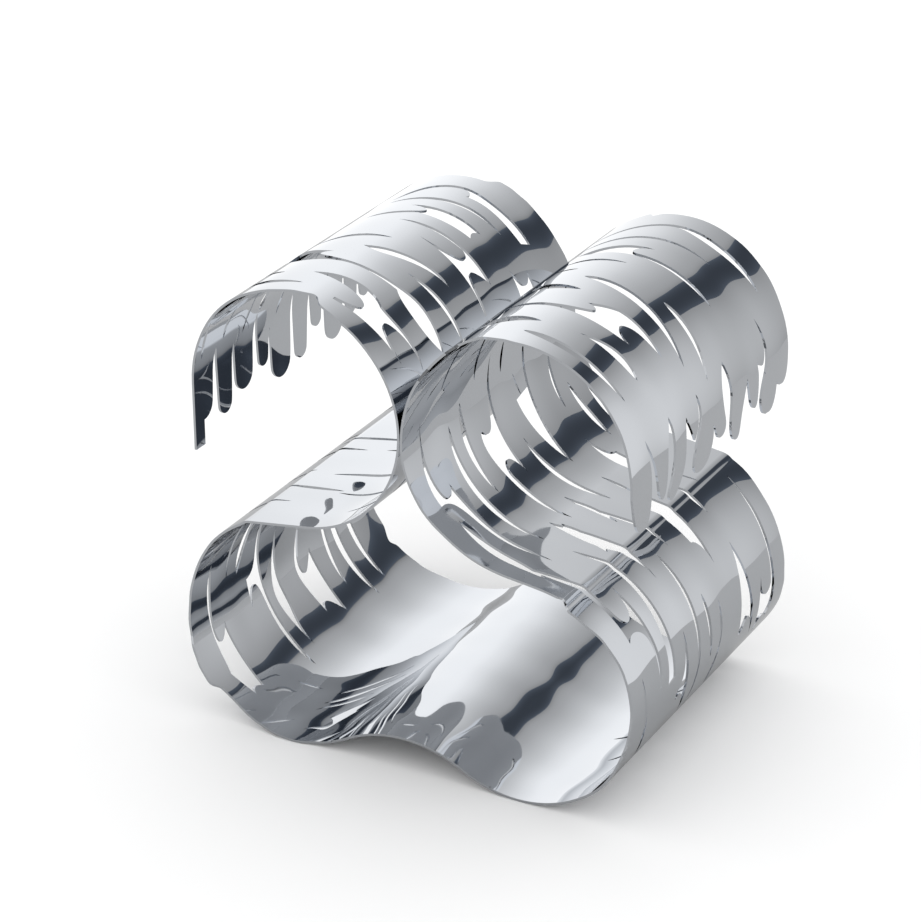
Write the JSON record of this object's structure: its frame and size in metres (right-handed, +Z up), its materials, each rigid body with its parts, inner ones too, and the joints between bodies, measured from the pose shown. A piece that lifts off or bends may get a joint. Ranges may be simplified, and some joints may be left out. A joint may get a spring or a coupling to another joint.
{
  "type": "wine rack",
  "caption": "Free-standing wine rack: round bottle cells rolled from slashed mirror steel sheet, one pair of rings on top of another pair, joined by a low bridge.",
  "frame": {"origin": "on the ground, under the middle of the rack", "axes": "+X to the right along the pair of lower rings, +Y from the front edge to the back edge along the bottles, +Z up"},
  "size_m": [0.1976, 0.1533, 0.193],
  "materials": {
    "mirror_steel": "mirror polished",
    "weld_metal": "as welded, lightly brushed"
  },
  "bodies": {
    "root": {"left_sheet": "mirror_steel", "right_sheet": "mirror_steel", "ring_weld_front": "weld_metal", "ring_weld_back": "weld_metal", "crest_weld_front": "weld_metal", "crest_weld_back": "weld_metal"}
  },
  "joints": []
}
